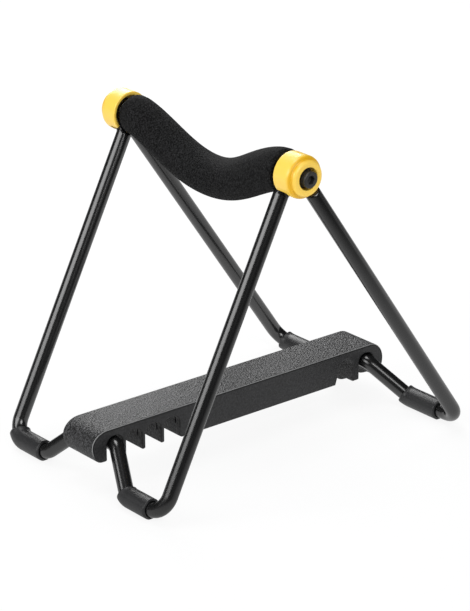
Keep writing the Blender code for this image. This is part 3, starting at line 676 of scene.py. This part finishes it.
def cap_skin(side):
    """A cup spun round the hinge axis whose rim steps back where the legs pass.

    Every meridian runs from the rim over barrel, crease, boss, counterbore and screw hole back
    through the cavity. The rim's place along Y depends on the angle: it is raised between the
    legs and raised further at the outer leg, and no point of the barrel lies before it."""
    clear = ROD_RADIUS + 0.4 * MM
    wide = math.asin(clear / CAP_RADIUS)
    down = {which: LEAN[which] - math.pi / 2 for which in LEAN}
    edges = (down["inner"] - wide, down["outer"] + wide, down["outer"] - wide)
    blur = 0.02
    turn = np.concatenate([np.linspace(-math.pi, math.pi, 181)[:-1]]
                          + [e + np.linspace(-1.5 * blur, 1.5 * blur, 13) for e in edges])
    turn = np.unique(turn)
    window_start, window_end, relief_start = (eased(turn, e - blur, e + blur) for e in edges)
    window = window_start * (1 - window_end)
    relief = relief_start * (1 - window_end)
    lip = (CAP_RIM + (CAP_WINDOW - CAP_RIM) * window + (CAP_RELIEF - CAP_WINDOW) * relief)[:, None]

    round_r = 0.45 * MM
    ledge = CAP_BOSS + CAP_FILLET
    shoulder = (CAP_RADIUS - ledge, CAP_CREASE - CAP_SHOULDER)
    barrel = np.array([(CAP_CAVITY + round_r, CAP_RIM)]
                      + arc((CAP_RADIUS - round_r, CAP_RIM + round_r), (round_r, round_r), 270, 360, 6)
                      + [(CAP_RADIUS, y * MM) for y in np.linspace(65, 72, 8)]
                      + arc((ledge, CAP_SHOULDER), shoulder, 0, 90, 14))
    boss_in = (CAP_BOSS - CAP_BOSS_EDGE, CAP_FACE - CAP_BOSS_EDGE)
    boss = np.array(arc((ledge, CAP_CREASE + CAP_FILLET), (CAP_FILLET, CAP_FILLET), 270, 180, 5)[1:]
                    + arc(boss_in, (CAP_BOSS_EDGE, CAP_BOSS_EDGE), 0, 90, 12)
                    + arc((CAP_COUNTERBORE + 0.3 * MM, CAP_FACE - 0.3 * MM), (0.3 * MM, 0.3 * MM), 90, 180, 4)
                    + [(CAP_COUNTERBORE, CAP_FLOOR), (PIN_HOLE, CAP_FLOOR), (PIN_HOLE, CAP_SEAT)])
    along = np.arange(len(barrel))
    lifted = np.maximum(barrel[None, :, 1], lip)
    radius = np.broadcast_to(barrel[None, :, 0], lifted.shape).copy()
    past = barrel[None, :, 1] < lip
    covered = np.interp(lip[:, 0], barrel[7:, 1], barrel[7:, 0])[:, None]
    radius = np.where(past & (lip > CAP_RIM + 1 * MM), np.minimum(radius, covered), radius)
    inner_r = CAP_CAVITY - 1.8 * MM * relief[:, None]
    columns = np.ones_like(lip)
    r = np.concatenate([radius, np.broadcast_to(boss[None, :, 0], (len(turn), len(boss))),
                        inner_r, CAP_CAVITY * columns], axis=1)
    y = np.concatenate([lifted, np.broadcast_to(boss[None, :, 1], (len(turn), len(boss))),
                        CAP_SEAT * columns, np.maximum(lip, CAP_RIM + 0.3 * MM)], axis=1)
    x = HINGE[0] + r * np.cos(turn)[:, None]
    z = HINGE[2] + r * np.sin(turn)[:, None]
    return skinned(np.stack([x, side * y, z], axis=-1), hoop=True)


for side, end in ((-1, "front"), (1, "back")):
    cap = finished("cap_" + end, cap_skin(side), yellow_plastic, 38.0)
    x, y, z = np.array([vert.co[:] for vert in cap.data.vertices]).T
    # Painted shade in the crease: its strength falls off with the distance from a ring at the foot of the
    # boss.
    away = np.hypot(np.hypot(x - HINGE[0], z - HINGE[2]) - CAP_BOSS - CREASE_SHADE_SHIFT,
                    np.abs(y) - CAP_CREASE)
    strength = np.minimum(CREASE_SHADE_STRENGTH * np.exp(-(away / CREASE_SHADE_REACH) ** 2), 1.0)
    crease = cap.data.attributes.new("crease", "FLOAT", "POINT")
    crease.data.foreach_set("value", strength.astype(np.float32))
    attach(cap, "outer_frame")
    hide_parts("end_cap_" + end)


# Pivot screws
# Black socket head screws in the caps' counterbores. The head is knurled round its side, and its
# hexagon socket has a small lead-in and a drilled bottom.

HEAD_SEAT = 74.8 * MM
HEAD_RADIUS = 4.25 * MM
HEAD_HEIGHT = 4.8 * MM
SOCKET_FLATS = 4.0 * MM
SOCKET_DEPTH = 2.5 * MM
SHANK_RADIUS = 2.5 * MM
SHANK_TIP = 58.0 * MM


def screw_skin(side):
    """A solid of turned sections, from the tip to the crown, whose head side carries the knurl.

    The knurl is a fine wave of the radius round the axis, fading out at both of its edges, and
    the thread is a shallow sawtooth of the radius along the shank."""
    crown = HEAD_SEAT + HEAD_HEIGHT
    thread = np.linspace(SHANK_TIP + 0.6 * MM, HEAD_SEAT - 8 * MM, 60)
    saw = 0.18 * MM * np.abs(((thread / (0.8 * MM)) % 1.0) * 2 - 1)
    rows = [(SHANK_RADIUS - 0.6 * MM, SHANK_TIP)] + list(zip(SHANK_RADIUS - saw, thread))
    rows += [(SHANK_RADIUS, HEAD_SEAT - 7.8 * MM), (SHANK_RADIUS, HEAD_SEAT),
             (HEAD_RADIUS - 0.15 * MM, HEAD_SEAT), (HEAD_RADIUS, HEAD_SEAT + 0.2 * MM)]
    rows += [(HEAD_RADIUS, HEAD_SEAT + y * MM) for y in np.linspace(0.5, 3.9, 6)]
    rows += arc((HEAD_RADIUS - 0.6 * MM, crown - 0.6 * MM), (0.6 * MM, 0.6 * MM), 0, 90, 6)
    r, y = np.array(rows).T
    turn = np.linspace(0.0, 2 * math.pi, 288, endpoint=False)[None, :]
    knurl = (eased(y, HEAD_SEAT + 0.2 * MM, HEAD_SEAT + 0.6 * MM)
             * (1 - eased(y, crown - 1.2 * MM, crown - 0.7 * MM)))
    r = r[:, None] - 0.10 * MM * knurl[:, None] * (0.5 + 0.5 * np.cos(48 * turn))
    x = HINGE[0] + r * np.cos(turn)
    z = HINGE[2] + r * np.sin(turn)
    return skinned(np.stack([x, np.broadcast_to(side * y[:, None], x.shape), z], axis=-1))


for side, end in ((-1, "front"), (1, "back")):
    screw = finished("screw_" + end, screw_skin(side), black_oxide, 40.0)
    crown = HEAD_SEAT + HEAD_HEIGHT
    corner = SOCKET_FLATS / 2 / math.cos(math.pi / 6)
    hexagon = np.array([(0.0001 * MM, crown - SOCKET_DEPTH - 0.6 * MM), (corner, crown - SOCKET_DEPTH),
                        (corner, crown - 0.2 * MM), (corner + 0.3 * MM, crown + 0.1 * MM),
                        (0.0001 * MM, crown + MM)])
    carved(screw, finished("hex key", turned(hexagon, side, 6), black_oxide, 20.0))
    screw.data.shade_smooth()
    screw.data.set_sharp_from_angle(angle=math.radians(30))
    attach(screw, "saddle")
    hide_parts("pivot_bolt_" + end)


# Spreader bar
# One charcoal moulding that snaps on the outer crossbar and drops over the inner one with one of
# four notches. Its top is finely textured and its underside is cored out between cross ribs. A
# painted highlight runs along its upper edges, and painted shade darkens the notches' walls inwards.

BAR_HALF_WIDTH = 12.6 * MM
BAR_TOP = 8.9 * MM
BAR_BOTTOM = -8.6 * MM
BAR_ROUND = 0.7 * MM
NOTCH_PITCH = 12.2 * MM
NOTCH_HALF = 5.0 * MM
NOTCH_TOP = 4.5 * MM
NOTCH_CORNER = 4.2 * MM
PRONG_TIP = 0.8 * MM
RACK_BOTTOM = -8.1 * MM
HOOK_BOTTOM = -9.6 * MM
HEEL_BOTTOM = -9.6 * MM
BELLY_END = 127.0 * MM
STORAGE_NOTCH = 14.4 * MM
STORAGE_HALF = 4.6 * MM
STORAGE_FLARE = 2.8 * MM
HEEL = 12.2 * MM
TOE = 14.4 * MM
BAR_GRAIN_TINT = 9.0


def crossbar(which):
    """Where a frame's crossbar crosses the middle plane, as (x, z)."""
    drop = LEG_LENGTH[which] - CROSSBAR_RISE
    return np.array((HINGE[0] + drop * math.sin(LEAN[which]), HINGE[2] - drop * math.cos(LEAN[which])))


bar_run = crossbar("inner") - crossbar("outer")
BAR_SPAN = float(np.linalg.norm(bar_run))
bar_along = bar_run / BAR_SPAN
bar_up = np.array((bar_along[1], -bar_along[0]))


def on_bar(points):
    """Turns (distance from the outer crossbar, across, height) into places in the stand."""
    u, y, w = np.moveaxis(np.asarray(points, float), -1, 0)
    x, z = (crossbar("outer")[k] + u * bar_along[k] + w * bar_up[k] for k in (0, 1))
    return np.stack([x, y, z], axis=-1)


def rounded(corner, radius, before, after, steps=5):
    """A quarter round at a corner, given the unit directions into and out of it."""
    corner, before, after = (np.array(v, float) for v in (corner, before, after))
    centre = corner - before * radius + after * radius
    t = np.linspace(0, math.pi / 2, steps + 1)[:, None]
    return [tuple(p) for p in centre - after * radius * np.cos(t) + before * radius * np.sin(t)]


def notch(centre, bottom_left, bottom_right):
    """An arched notch open below, drawn from its toe side wall over the arch to its heel side wall."""
    left, right = centre + NOTCH_HALF, centre - NOTCH_HALF
    arch_y = NOTCH_TOP - NOTCH_CORNER
    radii = (NOTCH_CORNER, NOTCH_CORNER)
    return (rounded((left, bottom_left), PRONG_TIP, (-1, 0), (0, 1))
            + arc((left - NOTCH_CORNER, arch_y), radii, 0, 90, 10)
            + arc((right + NOTCH_CORNER, arch_y), radii, 90, 180, 10)
            + rounded((right, bottom_right), PRONG_TIP, (0, -1), (-1, 0)))


def rack_outline():
    """The bar's side view: toe, four notches, belly, flared storage notch, hinge notch and heel."""
    nose = 1.0 * MM
    toe_top, toe_tip, toe_foot = BAR_SPAN + 4.3 * MM, BAR_SPAN + TOE, BAR_SPAN + 7.8 * MM
    points = arc((toe_top, nose), (toe_tip - toe_top, BAR_TOP - nose), 90, 0, 16)
    points += arc((toe_foot, nose), (toe_tip - toe_foot, nose - RACK_BOTTOM), 0, -90, 12)[1:]
    for k in range(4):
        points += notch(BAR_SPAN - k * NOTCH_PITCH, RACK_BOTTOM, RACK_BOTTOM)
    points += [(BELLY_END, RACK_BOTTOM), (BELLY_END, BAR_BOTTOM)]
    points.append((STORAGE_NOTCH + STORAGE_HALF + STORAGE_FLARE, BAR_BOTTOM))
    points += arc((STORAGE_NOTCH, 0.0), (STORAGE_HALF, NOTCH_TOP), 0, 180, 24)
    points += rounded((STORAGE_NOTCH - STORAGE_HALF, HOOK_BOTTOM), PRONG_TIP, (0, -1), (-1, 0))
    points += notch(0.0, HOOK_BOTTOM, HEEL_BOTTOM)
    heel_foot, heel_top = -7.0 * MM, -2.4 * MM
    points += arc((heel_foot, -nose), (HEEL + heel_foot, -nose - HEEL_BOTTOM), 270, 180, 12)
    points += arc((heel_top, -nose), (HEEL + heel_top, BAR_TOP + nose), 180, 90, 16)[1:]
    return np.array(points)


def inset(outline, distance):
    """The same closed outline moved inwards by a distance, mitred at its corners."""
    edge = np.roll(outline, -1, axis=0) - outline
    edge /= np.linalg.norm(edge, axis=1)[:, None]
    normal = np.column_stack([edge[:, 1], -edge[:, 0]])
    before = np.roll(normal, 1, axis=0)
    return outline + distance * (normal + before) / (1 + np.sum(normal * before, axis=1))[:, None]


def drawn_out(outline, half_width, edge, rim, notch_wall_shade):
    """A side view drawn out across the bar, its two faces closed flat and their edges rounded.

    Each row of points lies at a distance in from the outline and from the bar's side. A mark
    goes with every point: along the rim a painted highlight (1) on the rounded edge between two lines
    of painted shadow (-1), one in a thin groove, and on the notch walls painted shade (-1) behind the rounded
    edge."""
    a = np.linspace(0.0, math.pi / 2, 6)
    inwards = np.concatenate([[edge + 0.5 * MM, edge + 0.2 * MM], edge * (1 - np.sin(a)), np.zeros(3)])
    depth = np.concatenate([[0.0, 0.12 * MM], edge * (1 - np.cos(a)), edge + np.array([0.35, 1.2, 2.4]) * MM])
    rim_light_and_shade = np.array([0.0, -1.0, -1.0, -0.3, 1.0, 1.0, 0.2, -1.0, 0.0, 0.0, 0.0])
    notch_shade_by_row = np.array([0.0, 0.0, 0.0, 0.2, 0.6, 1.0, 1.0, 1.0, 1.0, 1.0, 0.0])
    bm = bmesh.new()
    rows, painted_light_marks = [], []
    for end, order in ((-1, range(11)), (1, reversed(range(11)))):
        for k in order:
            beyond = max(inwards[k] - edge, 0.0)
            places = inset(outline, (min(inwards[k], edge) + beyond * rim)[:, None])
            rows.append([bm.verts.new((u, end * (half_width - depth[k]), w)) for u, w in places])
            painted_light_marks.append(rim * rim_light_and_shade[k] - notch_wall_shade * notch_shade_by_row[k])
    for lower, upper in zip(rows, rows[1:]):
        for a0, a1, b1, b0 in zip(lower, lower[1:] + lower[:1], upper[1:] + upper[:1], upper):
            bm.faces.new((a0, a1, b1, b0))
    bm.faces.new(rows[0])
    bm.faces.new(rows[-1])
    painted_light_lookup = kdtree.KDTree(len(bm.verts))
    for number, vert in enumerate(bm.verts):
        painted_light_lookup.insert(vert.co, number)
    painted_light_lookup.balance()
    return bm, painted_light_lookup, np.concatenate(painted_light_marks)


bar_plastic = skin_finish("charcoal moulding", (0.024, 0.024, 0.025), roughness=0.45,
                          grain_size=0.95 * MM, grain_tint=BAR_GRAIN_TINT, patch_size=18 * MM,
                          patch_tint=0.4, gloss_drift=0.10, bump_height=0.50 * MM)
nodes, wired = bar_plastic.node_tree.nodes, bar_plastic.node_tree.links.new
nodes["Principled BSDF"].inputs["Specular IOR Level"].default_value = 0.36
bar_place = nodes.new("ShaderNodeTexCoord")
facing = nodes.new("ShaderNodeSeparateXYZ")
wired(bar_place.outputs["Normal"], facing.inputs["Vector"])
flank = number_step(bar_plastic.node_tree, "ABSOLUTE", facing.outputs["Y"], None)
textured = nodes.new("ShaderNodeMapRange")
textured.interpolation_type = "SMOOTHSTEP"
textured.inputs["From Min"].default_value = 0.85
textured.inputs["From Max"].default_value = 0.55
textured.inputs["To Min"].default_value = 0.22
textured.inputs["To Max"].default_value = 1.0
wired(flank, textured.inputs["Value"])
skin = next(node for node in nodes if node.type == "GROUP")
bump = next(node for node in nodes if node.type == "BUMP")
wired(number_step(bar_plastic.node_tree, "MULTIPLY", textured.outputs["Result"], BAR_GRAIN_TINT),
      skin.inputs["Grain Tint"])
wired(number_step(bar_plastic.node_tree, "MULTIPLY", textured.outputs["Result"], skin.outputs["Grain"]),
      bump.inputs["Height"])
# Painted light from the edge mark: above 0 it mixes in a pale painted highlight, below 0 a near-black painted
# shade.
light_and_shade_mark = nodes.new("ShaderNodeAttribute")
light_and_shade_mark.attribute_name = "edge"
painted_highlight, painted_shade = nodes.new("ShaderNodeMix"), nodes.new("ShaderNodeMix")
painted_highlight.data_type = painted_shade.data_type = "RGBA"
painted_highlight.inputs["B"].default_value = (0.27, 0.27, 0.27, 1.0)
painted_shade.inputs["B"].default_value = (0.003, 0.003, 0.003, 1.0)
wired(number_step(bar_plastic.node_tree, "MAXIMUM", light_and_shade_mark.outputs["Fac"], 0.0), painted_highlight.inputs["Factor"])
wired(number_step(bar_plastic.node_tree, "MAXIMUM",
                  number_step(bar_plastic.node_tree, "MULTIPLY", light_and_shade_mark.outputs["Fac"], -0.9), 0.0),
      painted_shade.inputs["Factor"])
wired(skin.outputs["Tone"], painted_highlight.inputs["A"])
wired(painted_highlight.outputs["Result"], painted_shade.inputs["A"])
wired(painted_shade.outputs["Result"], nodes["Principled BSDF"].inputs["Base Color"])

outline = rack_outline()
u, w = outline.T
# Along the top and the ends the rim carries a thin groove, painted shadow beside the rounded edge and a
# painted highlight on it.
top_or_end = (u > BAR_SPAN + 7.0 * MM) | (u < -7.0 * MM) | (w > BAR_TOP - 1.5 * MM)
rim = eased(w, -6.0 * MM, -1.0 * MM) * top_or_end
from_notch = (BAR_SPAN - u) - NOTCH_PITCH * np.round((BAR_SPAN - u) / NOTCH_PITCH)
in_rack = (u > BELLY_END + 1 * MM) & (u < BAR_SPAN + NOTCH_HALF + 0.1 * MM) & (w < NOTCH_TOP + 0.1 * MM)
# Painted shade on the rack's notch walls: strongest on each heel-side wall, fading across the arch and
# towards the open bottom.
notch_wall_shade = in_rack * eased(from_notch, -4.5 * MM, 1.5 * MM) * eased(w, RACK_BOTTOM, RACK_BOTTOM + 2 * MM)
body, painted_light_lookup, painted_light_marks = drawn_out(outline, BAR_HALF_WIDTH, BAR_ROUND, rim, notch_wall_shade)
bar = finished("bar", body, bar_plastic)

WALL, RIB, ROOF, POCKETS = 2.8 * MM, 2.0 * MM, 5.4 * MM, 6
first = STORAGE_NOTCH + STORAGE_HALF + STORAGE_FLARE + RIB
pocket_length = (BELLY_END - first - (POCKETS - 1) * RIB) / POCKETS
for k in range(POCKETS):
    near = first + k * (pocket_length + RIB)
    low, high = near, near + pocket_length
    side = BAR_HALF_WIDTH - WALL
    draft = 0.3 * MM
    plan = np.array([(low, -side), (high, -side), (high, side), (low, side)])
    middle = plan.mean(axis=0)
    mouth = np.column_stack([plan, np.full(4, 2 * BAR_BOTTOM)])
    roof = np.column_stack([middle + (plan - middle) * (1 - draft / side), np.full(4, ROOF)])
    pocket = finished("pocket", skinned(np.stack([mouth, roof])), bar_plastic)
    carved(bar, pocket)

# Three walls of the rack have a narrow upright slit near each side of the bar.
SLIT_BEFORE, SLIT_BEHIND = 1.5 * MM, 0.5 * MM
SLIT_INNER, SLIT_OUTER = 8.3 * MM, 9.3 * MM
SLIT_LEVELS = (-1.6 * MM, 2.4 * MM)
for k in (1, 2, 3):
    wall = BAR_SPAN - k * NOTCH_PITCH - NOTCH_HALF
    for side in (-1, 1):
        low, high = (wall - SLIT_BEFORE, side * SLIT_INNER), (wall + SLIT_BEHIND, side * SLIT_OUTER)
        plan = np.array([(low[0], low[1]), (high[0], low[1]), (high[0], high[1]), (low[0], high[1])])
        rings = np.stack([np.column_stack([plan, np.full(4, level)]) for level in SLIT_LEVELS])
        carved(bar, finished("core slit", skinned(rings), bar_plastic))

# Two sprung lips narrow the hinge notch, and a curved press tab hangs under each of its jaws.
LIP_MOUTH, LIP_BORE = 3.3 * MM, 4.25 * MM
TAB_REACH, TAB_ROOT, TAB_BOTTOM = 12.0 * MM, -8.7 * MM, -12.3 * MM
TAB_NEAR, TAB_FAR, TAB_TOP = 5.2 * MM, 9.1 * MM, -6.9 * MM
for side, bottom in ((1, HOOK_BOTTOM + BAR_ROUND), (-1, HEEL_BOTTOM + BAR_ROUND)):
    bite = math.degrees(math.acos(LIP_MOUTH / LIP_BORE))
    outline = [(NOTCH_HALF + 0.4 * MM, 0.0), (NOTCH_HALF + 0.4 * MM, bottom), (LIP_MOUTH + 1.2 * MM, bottom),
               (LIP_MOUTH, bottom / 1.7)] + arc((0, 0), (LIP_BORE, LIP_BORE), -bite, 0, 10)
    lip_half = BAR_HALF_WIDTH - WALL
    rings = np.array([[(side * u, y, w) for u, w in outline] for y in (-lip_half, lip_half)])
    carved(bar, finished("snap lip", skinned(rings), bar_plastic), "UNION")
    across = np.linspace(-TAB_REACH, TAB_REACH, 25)
    depth = TAB_ROOT + (TAB_BOTTOM - TAB_ROOT) * (0.5 + 0.5 * np.cos(math.pi * across / TAB_REACH)) ** 1.3
    corner = np.array([(TAB_NEAR, 0.5), (TAB_NEAR + 0.15 * MM, 0.15), (TAB_NEAR + 0.5 * MM, 0.0),
                       (TAB_FAR - 0.5 * MM, 0.0), (TAB_FAR - 0.15 * MM, 0.15), (TAB_FAR, 0.5)])
    rings = np.array([[(side * u, y, w + lift * MM) for u, lift in corner]
                      + [(side * TAB_FAR, y, TAB_TOP), (side * TAB_NEAR, y, TAB_TOP)]
                      for y, w in zip(across, depth)])
    carved(bar, finished("press tab", skinned(rings), bar_plastic), "UNION")

# Points that the pockets, slits, lips and tabs add lie on no marked edge and keep a mark of 0.
SAME_POINT = 0.01 * MM
nearest = [painted_light_lookup.find(vert.co) for vert in bar.data.vertices]
# The edge attribute carries the painted light: painted highlight and shadow along the rim, painted shade in
# the notches.
edge = bar.data.attributes.new("edge", "FLOAT", "POINT")
edge.data.foreach_set("value", [float(painted_light_marks[number]) if gap < SAME_POINT else 0.0
                                for _, number, gap in nearest])

# Its length runs towards -X in the stand, which turns the mesh inside out, so its faces are flipped.
places = on_bar([vert.co[:] for vert in bar.data.vertices])
bar.data.vertices.foreach_set("co", places.astype(np.float32).ravel())
bar.data.flip_normals()
bar.data.shade_smooth()
bar.data.set_sharp_from_angle(angle=math.radians(32))
even_shading = bar.modifiers.new("even shading", "WEIGHTED_NORMAL")
even_shading.keep_sharp = True
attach(bar, "spreader")
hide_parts("spreader_bar")
